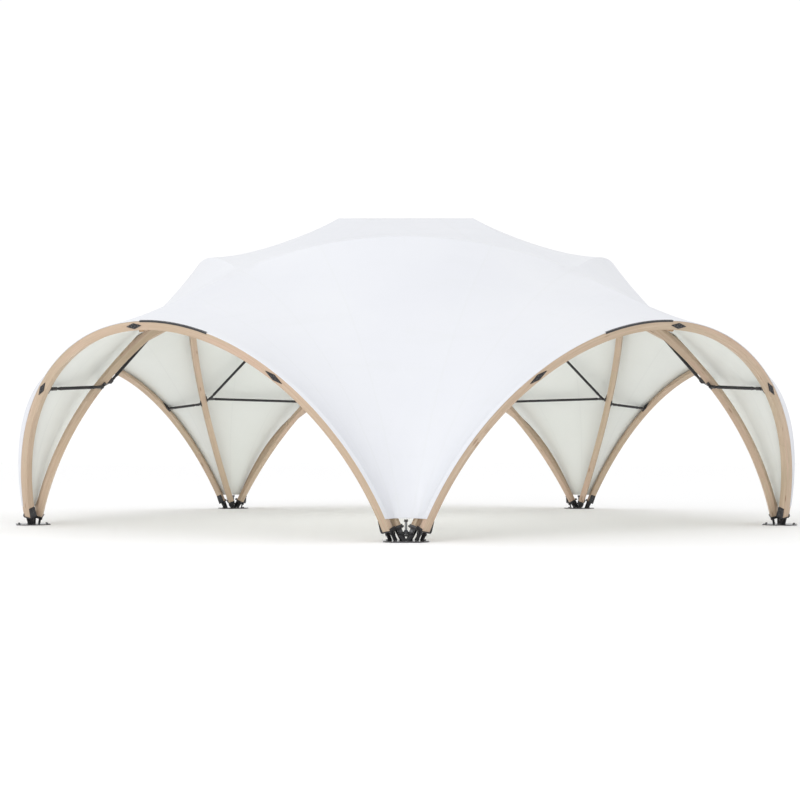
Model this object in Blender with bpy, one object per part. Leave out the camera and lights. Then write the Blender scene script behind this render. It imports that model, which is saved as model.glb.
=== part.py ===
"""A canopy tent: five timber opening arches, five timber cross arches and a tensioned white membrane.

Units are metres, +Z is up and the ground is at z = 0. Each leg is built once, at the front, and
turned about the middle for the other four. The front leg faces -Y.
"""
import math

import bmesh
import bpy
import numpy as np
from mathutils import Matrix, Vector

LEGS = 5
FOOT_RADIUS = 5.0
STEP = math.tau / LEGS
HALF_STEP = STEP / 2
PLAN_SHIFT_Y = 0.074

GAP = 0.0003
SAME = 1e-6
SMOOTH_BELOW = math.radians(50)

# Both kinds of arch are circles in a plane that leans outward. A start is (sideways, outward, up)
# from the middle of the foot, and an apex is (distance from the middle of the tent, height).
OPENING_START = (0.175, 0.045, 0.12)
OPENING_APEX = (5.0, 2.295)
OPENING_WIDTH = 0.09
OPENING_DEPTH = 0.10
CROSS_START = (0.085, -0.06, 0.13)
CROSS_APEX = (2.86, 3.41)
CROSS_WIDTH = 0.09
CROSS_DEPTH = 0.11
RIDGE_WIDTH = 0.08
RIDGE_DEPTH = 0.14
SHOULDER_DROP = 0.033
TOP_STRIP = 0.006

CROWN_RADIUS = 1.5
CROWN_HEIGHT = 3.985
CROWN_DEPTH = 0.12
CROWN_WIDTH = 0.10
CROWN_FACET = 0.10
CROWN_RISE = 0.06
CROWN_BEAM_DROP = 0.02
CROWN_RIM_GAPS = 3
CUT_REACH = 0.5
SEAM_NEAR = 1e-3

MEMBRANE = 0.008
MEMBRANE_CLEAR = 0.003
HEM_CLEAR = 0.001
CROSSING_CLEAR = 0.009
MEMBRANE_START = 0.27
HEM_INSET = 0.004
LEG_ROWS = 12
OPENING_COLUMNS = 4
TOP_COLUMNS = 4
SHOULDER_ROWS = 5
CROWN_ROWS = 2
RELAX_STEPS = 400
# A film normal points out when it agrees with up plus this much of the distance from the middle.
OUTWARD_SHARE = 0.05

STRUT_RADIUS = 0.02
KNUCKLE_RADIUS = 0.034
TUBE_SIDES = 8
LINK_HEIGHT = 1.66
LINK_DROP = 0.033
TIE_DROP = 0.036
NODE_HEIGHT = 1.77
# The frame between the ribs hangs below them on side plates, clear of the film that dips between them.
FRAME_RAISE = 0.05
FRAME_DROP = 0.08
SIDE_PLATE = 0.012
SIDE_PLATE_HALF = 0.03
SIDE_PLATE_TOP = 0.02
LUG = 0.05
LUG_HALF = 0.016
# A knuckle, in knuckle radii: where its tube starts, where its drum starts, and how a closed end tapers.
KNUCKLE_NECK = 1.6
KNUCKLE_DRUM = 0.8
KNUCKLE_CAP = 0.6
KNUCKLE_CAP_RADIUS = 0.7

PLATE_SIDE = 0.46
PLATE_LENGTH = 0.42
PLATE = 0.012
PLATE_CORNER = 0.09
SHOE_PLATE = 0.014
SHOE_MARGIN = 0.008
FIN = 0.02
FIN_SHARE = 0.8
FIN_PLACE = 0.55
ROD_RADIUS = 0.013
ROD_TOP = 0.225
ROD_HEAD = 0.022
CRADLE_OUTER = 0.075
CRADLE_INNER = 0.050
CRADLE_HALF_WIDTH = 0.03
CRADLE_STEPS = 8

LEG_NAMES = ("front", "right", "back_right", "back_left", "left")
BAY_NAMES = ("front_right", "right", "back", "left", "front_left")


def clear_scene():
    for old in list(bpy.data.objects):
        bpy.data.objects.remove(old, do_unlink=True)


def new_material(name, colour, roughness, metallic):
    made = bpy.data.materials.new(name)
    made.use_nodes = True
    shader = made.node_tree.nodes["Principled BSDF"]
    shader.inputs["Base Color"].default_value = (*colour, 1.0)
    shader.inputs["Roughness"].default_value = roughness
    shader.inputs["Metallic"].default_value = metallic
    return made


def closed_mesh(name, points, faces):
    """A mesh of the given faces, all of them turned outward."""
    mesh = bpy.data.meshes.new(name)
    work = bmesh.new()
    corners = [work.verts.new(Vector(p)) for p in points]
    for face in faces:
        work.faces.new([corners[i] for i in face])
    bmesh.ops.recalc_face_normals(work, faces=work.faces[:])
    work.to_mesh(mesh)
    work.free()
    return mesh


def as_object(name, mesh, material=None, turn=0.0):
    made = bpy.data.objects.new(name, mesh)
    made.matrix_world = Matrix.Translation((0, PLAN_SHIFT_Y, 0)) @ Matrix.Rotation(turn, 4, "Z")
    bpy.context.scene.collection.objects.link(made)
    if material is not None:
        if not mesh.materials:
            mesh.materials.append(None)
        made.material_slots[0].link = "OBJECT"
        made.material_slots[0].material = material
    return made


def smoothed(mesh):
    """The mesh shaded smooth, apart from its sharp edges."""
    mesh.shade_smooth()
    mesh.set_sharp_from_angle(angle=SMOOTH_BELOW)
    return mesh


def boolean(mesh, others, operation):
    """The mesh after one exact boolean with each of the others."""
    base = as_object("work", mesh)
    tools = [as_object("tool", other) for other in others]
    for tool in tools:
        step = base.modifiers.new("step", "BOOLEAN")
        step.operation = operation
        step.solver = "EXACT"
        step.object = tool
    bpy.context.view_layer.update()
    graph = bpy.context.evaluated_depsgraph_get()
    result = bpy.data.meshes.new_from_object(base.evaluated_get(graph))
    for used in [base] + tools:
        bpy.data.objects.remove(used, do_unlink=True)
    return result


def sweep(name, loops):
    """A closed body through a row of loops with equal counts, capped at both ends."""
    sides = len(loops[0])
    points = [p for loop in loops for p in loop]
    faces = [list(range(sides)), list(range(len(points) - sides, len(points)))]
    for row in range(len(loops) - 1):
        for side in range(sides):
            here = row * sides + side
            beside = row * sides + (side + 1) % sides
            faces.append((here, beside, beside + sides, here + sides))
    return closed_mesh(name, points, faces)


def unit(vector):
    return vector / np.linalg.norm(vector)


UP = np.array([0.0, 0.0, 1.0])
FRONT = -math.pi / 2


class Arch:
    """A circular arch between two feet, in a plane that leans outward over the given direction."""

    def __init__(self, middle, span_legs, start, apex):
        self.outward = np.array([math.cos(middle), math.sin(middle), 0.0])
        self.along = np.array([-math.sin(middle), math.cos(middle), 0.0])
        half_turn = span_legs * HALF_STEP
        side, out, height = start
        reach = FOOT_RADIUS + out
        foot_out = reach * math.cos(half_turn) + side * math.sin(half_turn)
        self.half = reach * math.sin(half_turn) - side * math.cos(half_turn)
        run = apex[0] - foot_out
        climb = apex[1] - height
        self.lean = math.atan2(run, climb)
        rise = math.hypot(run, climb)
        self.radius = (rise * rise + self.half * self.half) / (2 * rise)
        self.rising = math.sin(self.lean) * self.outward + math.cos(self.lean) * UP
        self.across = math.cos(self.lean) * self.outward - math.sin(self.lean) * UP
        top = apex[0] * self.outward + apex[1] * UP
        self.centre = top - self.radius * self.rising
        self.end_angle = math.acos(self.half / self.radius)

    def normal(self, angle):
        """The direction away from the circle's middle, with angle 90 degrees at the apex."""
        return -math.cos(angle) * self.along + math.sin(angle) * self.rising

    def point(self, angle, lift=0.0, shift=0.0):
        return self.centre + (self.radius + lift) * self.normal(angle) + shift * self.across

    def tangent(self, angle):
        return math.sin(angle) * self.along + math.cos(angle) * self.rising

    def angle_at_height(self, height):
        """The angle on the first half of the arch at which its middle line has this height."""
        share = (height - self.centre[2]) / (self.radius * math.cos(self.lean))
        return math.asin(share)

    def facet(self, angles, height, lift):
        """The middle of the flat facet at this height, and its angle, on a surface lifted by lift."""
        wanted = self.angle_at_height(height)
        k = max(i for i, angle in enumerate(angles) if angle <= wanted)
        middle = (angles[k] + angles[k + 1]) / 2
        flat = (self.radius + lift) * math.cos((angles[k + 1] - angles[k]) / 2)
        return self.centre + flat * self.normal(middle), middle

    def body(self, name, angles, section):
        loops = []
        for angle in angles:
            loops.append([self.point(angle, lift, shift) for shift, lift in section])
        return sweep(name, loops)


def cross_section(width, depth):
    """An outline of (sideways, up) points with a roofed top that the membrane can bend over."""
    half = width / 2
    top = depth / 2
    strip = TOP_STRIP / 2
    return [(-half, -top), (half, -top), (half, top - SHOULDER_DROP), (strip, top), (-strip, top),
            (-half, top - SHOULDER_DROP)]


def opening_section():
    """The opening arch is square on its outer side and roofed only on its inner side."""
    half = OPENING_WIDTH / 2
    top = OPENING_DEPTH / 2
    return [(-half, -top), (half, -top), (half, top), (-TOP_STRIP, top), (-half, top - SHOULDER_DROP)]


# The front leg's two opening arches and three cross arches. A cross arch is named by the leg that
# it passes over. The arch to the right of the front leg starts there, as does the right cross arch.
OPENING = Arch(FRONT + HALF_STEP, 1, OPENING_START, OPENING_APEX)
OVER_RIGHT = Arch(FRONT + STEP, 2, CROSS_START, CROSS_APEX)
OVER_FRONT = Arch(FRONT, 2, CROSS_START, CROSS_APEX)
BAY = OPENING.outward
BAY_SIDE = OPENING.along


def crossing_angle():
    """The angle on the right cross arch at which it meets the middle plane of the first bay."""
    low = OVER_RIGHT.end_angle
    high = math.pi / 2
    for _ in range(60):
        middle = (low + high) / 2
        if OVER_RIGHT.point(middle) @ BAY_SIDE < 0:
            low = middle
        else:
            high = middle
    return low


CROSSING = crossing_angle()
CROSS_POINT = OVER_RIGHT.point(CROSSING)
CROSS_NORMAL = OVER_RIGHT.normal(CROSSING)
CROSS_NORMAL = unit(CROSS_NORMAL - (CROSS_NORMAL @ BAY_SIDE) * BAY_SIDE)


def turned(vector, angle):
    cosine = math.cos(angle)
    sine = math.sin(angle)
    return np.array([cosine * vector[0] - sine * vector[1], sine * vector[0] + cosine * vector[1], vector[2]])


def mirrored_bay(vector):
    """The vector mirrored in the middle plane of the first bay."""
    return vector - 2 * (vector @ BAY_SIDE) * BAY_SIDE


def box_between(name, origin, axes, low, high):
    """A box along three unit axes, which need not be square to each other."""
    points = []
    for k in range(8):
        spot = origin.copy()
        for bit in range(3):
            spot = spot + axes[bit] * (high[bit] if k >> bit & 1 else low[bit])
        points.append(spot)
    faces = [(0, 2, 3, 1), (4, 5, 7, 6), (0, 1, 5, 4), (2, 6, 7, 3), (0, 4, 6, 2), (1, 3, 7, 5)]
    return closed_mesh(name, points, faces)


def cross_angles():
    """Angles shared by the cross arch and the membrane over it, from one end to the other."""
    start = OVER_RIGHT.end_angle
    tip = OVER_RIGHT.angle_at_height(MEMBRANE_START)
    leg = list(np.linspace(tip, CROSSING, LEG_ROWS + 1))
    top = list(np.linspace(CROSSING, math.pi / 2, TOP_COLUMNS + 1))
    half = [start] + leg + top[1:]
    return half + [math.pi - a for a in reversed(half[:-1])]


def opening_angles():
    tip = OPENING.angle_at_height(MEMBRANE_START)
    half = [OPENING.end_angle] + list(np.linspace(tip, math.pi / 2, LEG_ROWS + 1))
    return half + [math.pi - a for a in reversed(half[:-1])]


def make_cross_arch():
    """One cross arch, halved where the two others pass: from below at one and from above at the other."""
    body = OVER_RIGHT.body("cross_arch", cross_angles(), cross_section(CROSS_WIDTH, CROSS_DEPTH))
    slot = CROSS_WIDTH / 2 + GAP
    reach = CUT_REACH
    # a slot between the other arch's two sides, open towards one face, as axes that keep to those planes
    other = unit(mirrored_bay(OVER_RIGHT.across))
    run = unit(np.cross(other, CROSS_NORMAL))
    sideways = np.cross(CROSS_NORMAL, run)
    inward = np.cross(run, other)
    axes = (sideways / (sideways @ other), run, inward / (inward @ CROSS_NORMAL))
    lower = box_between("lower", CROSS_POINT, axes, (-slot, -reach, -reach), (slot, reach, GAP / 2))
    # the far crossing is the near one mirrored in the middle plane of this arch
    side = OVER_RIGHT.along

    def flip(vector):
        return vector - 2 * (vector @ side) * side

    far = [flip(axis) for axis in axes]
    upper = box_between("upper", flip(CROSS_POINT), far, (-slot, -reach, -GAP / 2), (slot, reach, reach))
    return boolean(body, [lower, upper], "DIFFERENCE")


def crest_points():
    """The membrane's middle surface over the opening arch's apex, the crossing and the crown's corner."""
    lift = MEMBRANE_CLEAR + MEMBRANE / 2
    apex = OPENING.point(math.pi / 2, OPENING_DEPTH / 2 + HEM_CLEAR + MEMBRANE / 2, -TOP_STRIP)
    crossing = CROSS_POINT + CROSS_NORMAL * (CROSS_DEPTH / 2 + CROSSING_CLEAR + MEMBRANE / 2)
    corner = BAY * CROWN_RADIUS + UP * (CROWN_HEIGHT + lift)
    return apex, crossing, corner


def beam(name, start, end, start_cut, end_cut, width, depth):
    """A roofed beam under the line from start to end, its ends cut by planes given as point and normal."""
    run = unit(end - start)
    side = unit(np.cross(UP, run))
    rise = np.cross(run, side)
    lift = MEMBRANE_CLEAR + MEMBRANE / 2
    loops = []
    for spot, normal in (start_cut, end_cut):
        loop = []
        for sideways, up in cross_section(width, depth):
            base = start + side * sideways + rise * (up - depth / 2 - lift)
            distance = ((spot - base) @ normal) / (run @ normal)
            loop.append(base + run * distance)
        loops.append(loop)
    return sweep(name, loops)


def crossing_slabs():
    """The two arches at the crossing as slabs between their side faces, with the usual gap."""
    half = CROSS_WIDTH / 2 + GAP
    reach = CUT_REACH
    own = (OVER_RIGHT.across, OVER_RIGHT.tangent(CROSSING), OVER_RIGHT.normal(CROSSING))
    slabs = []
    for axes in (own, [mirrored_bay(axis) for axis in own]):
        slabs.append(box_between("slab", CROSS_POINT, axes, (-half, -reach, -reach), (half, reach, reach)))
    return slabs


def make_ridges():
    """The ridge beam and the crown beam, each with a notched end that fits the crossing."""
    apex, crossing, corner = crest_points()
    inner_face = OPENING.point(math.pi / 2) - OPENING.across * (OPENING_WIDTH / 2 + GAP)
    lower = beam("ridge_beam", apex, crossing, (inner_face, OPENING.across),
                 (crossing, unit(crossing - apex)), RIDGE_WIDTH, RIDGE_DEPTH)
    ring_face = BAY * (CROWN_RADIUS - CROWN_FACET / 2 * math.tan(HALF_STEP) + GAP)
    # the crown beam ends a little low, because its sloping top runs on under the flatter crown panel
    low_corner = corner - UP * CROWN_BEAM_DROP
    upper = beam("crown_beam", crossing, low_corner, (crossing, unit(low_corner - crossing)),
                 (ring_face, BAY), RIDGE_WIDTH, RIDGE_DEPTH)
    slabs = crossing_slabs()
    return boolean(lower, slabs, "DIFFERENCE"), boolean(upper, slabs, "DIFFERENCE")


def make_crown_ring():
    """A five-sided ring with a short facet at each corner for a crown beam."""
    rings = []
    inner_corner = CROWN_RADIUS - CROWN_WIDTH / math.cos(HALF_STEP)
    for corner, facet in ((CROWN_RADIUS, CROWN_FACET), (inner_corner, CROWN_FACET / 2)):
        radius = corner - facet / 2 * math.tan(HALF_STEP)
        loop = []
        for leg in range(LEGS):
            for sign in (-1, 1):
                loop.append(turned(BAY * radius + BAY_SIDE * sign * facet / 2, leg * STEP))
        rings.append(loop)
    outer, inner = rings
    count = len(outer)
    points = []
    for loop in (outer, inner):
        for height in (CROWN_HEIGHT - CROWN_DEPTH, CROWN_HEIGHT):
            points += [p + UP * height for p in loop]
    faces = []
    for k in range(count):
        n = (k + 1) % count
        faces.append((k, n, n + count, k + count))
        faces.append((k + 2 * count, n + 2 * count, n + 3 * count, k + 3 * count))
        faces.append((k, n, n + 2 * count, k + 2 * count))
        faces.append((k + count, n + count, n + 3 * count, k + 3 * count))
    return closed_mesh("crown_ring", points, faces)


def membrane_rows():
    """Half of one leg's membrane as three grids of points, from the bay's middle to the leg's middle.

    The leg grid has a row for each step up the leg. Its first two columns are on the opening arch and
    its last column is in the leg's middle plane. The film is held by the opening arch, the ridges, the
    cross arch over the leg and the crown ring, and it spans free over the leg's own two ribs.
    """
    lift = MEMBRANE_CLEAR + MEMBRANE / 2
    apex, crossing, corner = crest_points()
    openings = np.linspace(OPENING.angle_at_height(MEMBRANE_START), math.pi / 2, LEG_ROWS + 1)
    crossings = np.linspace(OVER_RIGHT.angle_at_height(MEMBRANE_START), CROSSING, LEG_ROWS + 1)
    tops = np.linspace(math.pi - CROSSING, math.pi / 2, TOP_COLUMNS + 1)
    top_line = [OVER_FRONT.point(a, CROSS_DEPTH / 2 + lift) for a in tops]
    top_line[0] = crossing
    edge = OPENING_WIDTH / 2 - HEM_INSET
    hem = OPENING_DEPTH / 2 + HEM_CLEAR + MEMBRANE / 2
    columns = OPENING_COLUMNS + TOP_COLUMNS + 2
    leg = np.zeros((LEG_ROWS + 1, columns, 3))
    last = len(openings) - 1
    for row in range(LEG_ROWS + 1):
        leg[row, 0] = OPENING.point(openings[row], hem, edge)
        inner = OPENING.point(openings[row], hem, -TOP_STRIP)
        rib = OVER_RIGHT.point(crossings[row], CROSS_DEPTH / 2 + lift)
        if row == last:
            rib = crossing
        for k in range(OPENING_COLUMNS + 1):
            leg[row, k + 1] = inner + (rib - inner) * k / OPENING_COLUMNS
        middle = np.array([0.0, rib[1], rib[2]])
        for k in range(1, TOP_COLUMNS + 1):
            leg[row, OPENING_COLUMNS + k + 1] = rib + (middle - rib) * k / TOP_COLUMNS
    leg[last, OPENING_COLUMNS + 1:] = top_line
    side = np.array([BAY * CROWN_RADIUS + (turned(BAY, -STEP) - BAY) * CROWN_RADIUS / 2 * k / TOP_COLUMNS
                     for k in range(TOP_COLUMNS + 1)]) + UP * (CROWN_HEIGHT + lift)
    shoulder = np.zeros((SHOULDER_ROWS + 1, TOP_COLUMNS + 1, 3))
    for row in range(SHOULDER_ROWS + 1):
        shoulder[row] = np.array(top_line) + (side - np.array(top_line)) * row / SHOULDER_ROWS
    peak = UP * (CROWN_HEIGHT + lift + CROWN_RISE)
    crown = np.zeros((CROWN_ROWS + 1, TOP_COLUMNS + 1, 3))
    for row in range(CROWN_ROWS + 1):
        crown[row] = side + (peak - side) * row / CROWN_ROWS
    return leg, shoulder, crown


def relax(grid):
    """Draws a grid tight from its held edges, as a stretched film is.

    The last column is in a mirror plane.
    """
    for _ in range(RELAX_STEPS):
        right = np.concatenate([grid[:, 1:], grid[:, -2:-1] * (-1, 1, 1)], axis=1)
        mean = (grid[:-2, 1:] + grid[2:, 1:] + right[1:-1, 1:] + grid[1:-1, :-1]) / 4
        grid[1:-1, 1:] = mean


def membrane_surface():
    """Points and quads of half a leg's membrane, each quad with the name of its panel."""
    leg, shoulder, crown = membrane_rows()
    relax(leg[:, 1:])
    relax(shoulder)
    points = []
    index = {}

    def number(kind, row, column):
        if kind == "shoulder" and row == 0:
            kind, row, column = "leg", LEG_ROWS, column + OPENING_COLUMNS + 1
        if kind == "crown" and row == 0:
            kind, row = "shoulder", SHOULDER_ROWS
        if kind == "crown" and row == CROWN_ROWS:
            column = 0
        key = (kind, row, column)
        if key not in index:
            index[key] = len(points)
            points.append({"leg": leg, "shoulder": shoulder, "crown": crown}[kind][row, column])
        return index[key]

    faces = []
    for kind, grid in (("leg", leg), ("shoulder", shoulder), ("crown", crown)):
        for row in range(grid.shape[0] - 1):
            for column in range(grid.shape[1] - 1):
                quad = [number(kind, row, column), number(kind, row, column + 1),
                        number(kind, row + 1, column + 1), number(kind, row + 1, column)]
                faces.append((kind == "crown", list(dict.fromkeys(quad))))
    return np.array(points), faces


def surface_normals(points, faces):
    """Upward point normals, kept in the mirror planes for the points that lie on them."""
    normals = np.zeros_like(points)
    for _, face in faces:
        corner = points[face]
        for k in range(1, len(face) - 1):
            cross = np.cross(corner[k] - corner[0], corner[k + 1] - corner[0])
            if cross @ (UP + corner[0] * (1, 1, 0) * OUTWARD_SHARE) < 0:
                cross = -cross
            for j in (0, k, k + 1):
                normals[face[j]] += cross
    for k, p in enumerate(points):
        if abs(p[0]) < SAME:
            normals[k][0] = 0.0
        if abs(p @ BAY_SIDE) < SEAM_NEAR:
            normals[k] -= (normals[k] @ BAY_SIDE) * BAY_SIDE
        if np.hypot(p[0], p[1]) < SAME:
            normals[k] = UP
        normals[k] = unit(normals[k])
    return normals


def in_triangles(points, face):
    """A quad as two triangles, split along its shorter diagonal."""
    if len(face) == 3:
        return [face]
    a, b, c, d = face
    if np.linalg.norm(points[a] - points[c]) < np.linalg.norm(points[b] - points[d]) + SAME:
        return [[a, b, c], [a, c, d]]
    return [[a, b, d], [b, c, d]]


def shell(name, points, normals, quads):
    """A closed skin of the membrane's thickness around a surface."""
    count = len(points)
    faces = [triangle for quad in quads for triangle in in_triangles(points, quad)]
    upper = points + normals * MEMBRANE / 2
    lower = points - normals * MEMBRANE / 2
    every = [tuple(p) for p in upper] + [tuple(p) for p in lower]
    sides = []
    for face in faces:
        for k in range(len(face)):
            sides.append((face[k], face[(k + 1) % len(face)]))
    edges = {}
    for a, b in sides:
        edges.setdefault(frozenset((a, b)), []).append((a, b))
    solid = [tuple(f) for f in faces] + [tuple(i + count for i in reversed(f)) for f in faces]
    for pair in edges.values():
        if len(pair) == 1:
            a, b = pair[0]
            solid += [(b, a, a + count), (b, a + count, b + count)]
    return closed_mesh(name, every, solid)


def make_membrane():
    """The sail over the front leg and the crown panel."""
    points, faces = membrane_surface()
    normals = surface_normals(points, faces)
    # the seams on the ridges keep the usual gap from the next leg's sail
    on_seam = np.abs(points @ BAY_SIDE) < SEAM_NEAR
    seamed = points.copy()
    seamed[on_seam] -= BAY_SIDE * GAP / 2
    mirror = np.array([-1.0, 1.0, 1.0])

    def joined(base, base_normals, chosen, copies):
        out_points = []
        out_normals = []
        out_faces = []
        found = {}
        for move, turn in copies:
            for face in chosen:
                loop = []
                for i in face:
                    p = move(base[i], turn)
                    n = move(base_normals[i], turn)
                    key = tuple(np.round(p, 5) + 0.0)
                    if key not in found:
                        found[key] = len(out_points)
                        out_points.append(p)
                        out_normals.append(n)
                    loop.append(found[key])
                if move is flipped:
                    loop.reverse()
                out_faces.append(loop)
        return np.array(out_points), np.array(out_normals), out_faces

    def plain(vector, angle):
        return turned(vector, angle)

    def flipped(vector, angle):
        return turned(vector * mirror, angle)

    sail_faces = [f for is_crown, f in faces if not is_crown]
    crown_faces = [f for is_crown, f in faces if is_crown]
    sail = shell("sail", *joined(seamed, normals, sail_faces, [(plain, 0.0), (flipped, 0.0)]))
    crown_base = points.copy()
    rim = points[:, 2] < CROWN_HEIGHT + MEMBRANE_CLEAR + MEMBRANE / 2 + SAME
    shrink = 1 - CROWN_RIM_GAPS * GAP / CROWN_RADIUS
    crown_base[rim] *= (shrink, shrink, 1)
    copies = []
    for leg in range(LEGS):
        copies += [(plain, leg * STEP), (flipped, leg * STEP)]
    crown = shell("crown_panel", *joined(crown_base, normals, crown_faces, copies))
    return sail, crown


def ring_at(centre, run, radius, start_side):
    """A loop of points around a line, with its first point on the start side."""
    side = unit(start_side - (start_side @ run) * run)
    other = np.cross(run, side)
    return [centre + radius * (math.cos(a) * side + math.sin(a) * other)
            for a in (math.tau * k / TUBE_SIDES for k in range(TUBE_SIDES))]


def least_twist(before, loop):
    """The loop, started at the point that twists it least against the loop before it."""
    shift = np.mean(loop, axis=0) - np.mean(before, axis=0)

    def twist(start):
        rolled = loop[start:] + loop[:start]
        return sum(np.linalg.norm(b + shift - p) for b, p in zip(before, rolled))

    best = min(range(len(loop)), key=twist)
    return loop[best:] + loop[:best]


def make_strut(name, start, end, start_seat, end_seat):
    """A straight tube with a knuckle at each end, which has one corner towards the knuckle's seat."""
    run = unit(end - start)
    wide = KNUCKLE_RADIUS
    knuckle = ((-KNUCKLE_CAP, KNUCKLE_CAP_RADIUS), (0.0, 1.0), (KNUCKLE_DRUM, 1.0))
    loops = []
    for knot, way, seat in ((start, run, start_seat), (end, -run, end_seat)):
        part = [ring_at(knot + way * wide * along, run, wide * share, seat) for along, share in knuckle]
        part.append(ring_at(knot + way * wide * KNUCKLE_NECK, run, STRUT_RADIUS, seat))
        loops += part if knot is start else part[::-1]
    for k in range(1, len(loops)):
        loops[k] = least_twist(loops[k - 1], loops[k])
    return sweep(name, loops)


def mirror_x(point):
    return point * (-1, 1, 1)


def mirrored_mesh(mesh):
    """A copy of the mesh, mirrored in the leg's middle plane and still facing outward."""
    made = mesh.copy()
    made.transform(Matrix.Scale(-1, 4, (1, 0, 0)))
    made.flip_normals()
    return made


def with_lugs(struts, knots):
    """The struts with a square lug from each knot to its seat.

    A knot is given as its place, the way to its seat, a direction along the seat and how far the seat
    bulges towards the lug's edges.
    """
    lugs = []
    half = LUG_HALF
    for knot, seat, along, bulge in knots:
        axes = (np.cross(seat, along), along, seat)
        lugs.append(box_between("lug", knot, axes, (-half, -half, 0.0), (half, half, LUG - GAP - bulge)))
    return boolean(struts, lugs, "UNION")


def make_leg_struts():
    """The side ties from an opening arch to the rib beside it, and the frame between the leg's two ribs.

    The frame has a level tube from rib to rib and two tubes that rise to the cross arch over the leg.
    """
    link_angle = OPENING.angle_at_height(LINK_HEIGHT)
    link = OPENING.point(link_angle, -LINK_DROP, -(OPENING_WIDTH / 2 + LUG))
    node_angle = OVER_RIGHT.angle_at_height(NODE_HEIGHT)
    outer = OVER_RIGHT.point(node_angle, -TIE_DROP, CROSS_WIDTH / 2 + LUG)
    frame_angle = OVER_RIGHT.angle_at_height(NODE_HEIGHT + FRAME_RAISE)
    inner = OVER_RIGHT.point(frame_angle, -FRAME_DROP, -(CROSS_WIDTH / 2 + LUG))
    top = OVER_FRONT.point(math.pi / 2, -(CROSS_DEPTH / 2 + LUG))
    rib_side = OVER_RIGHT.across
    rib_run = OVER_RIGHT.tangent(node_angle)
    tie = make_strut("side_tie", link, outer, OPENING.across, -rib_side)
    tie = with_lugs(tie, [(link, OPENING.across, OPENING.tangent(link_angle), 0.0),
                          (outer, -rib_side, rib_run, 0.0)])
    far = mirror_x(inner)
    far_side = mirror_x(rib_side)
    level = make_strut("leg_frame", inner, far, rib_side, far_side)
    rises = [make_strut("rise", inner, top, rib_side, OVER_FRONT.rising),
             make_strut("rise", far, top, far_side, OVER_FRONT.rising)]
    # the underside of the arch has a corner at the top lug, and falls away from it to both sides
    bulge = LUG_HALF * math.tan((math.pi / 2 - CROSSING) / TOP_COLUMNS / 2)
    frame_run = OVER_RIGHT.tangent(frame_angle)
    frame = with_lugs(boolean(level, rises, "UNION"), [
        (inner, rib_side, frame_run, SIDE_PLATE / 2), (far, far_side, mirror_x(frame_run), SIDE_PLATE / 2),
        (top, OVER_FRONT.rising, OVER_FRONT.along, bulge)])
    near_face = -(CROSS_WIDTH / 2 + GAP)
    low = (near_face - SIDE_PLATE, -SIDE_PLATE_HALF, -(FRAME_DROP + LUG_HALF))
    high = (near_face, SIDE_PLATE_HALF, SIDE_PLATE_TOP)
    origin = OVER_RIGHT.point(frame_angle)
    axes = (rib_side, frame_run, OVER_RIGHT.normal(frame_angle))
    plates = [box_between("plate", origin, axes, low, high),
              box_between("plate", mirror_x(origin), [mirror_x(axis) for axis in axes], low, high)]
    return tie, mirrored_mesh(tie), boolean(frame, plates, "UNION")


def prism(name, outline, low, high):
    """An upright solid on an outline of (x, y) points."""
    return sweep(name, [[np.array([x, y, z]) for x, y in outline] for z in (low, high)])


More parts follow.
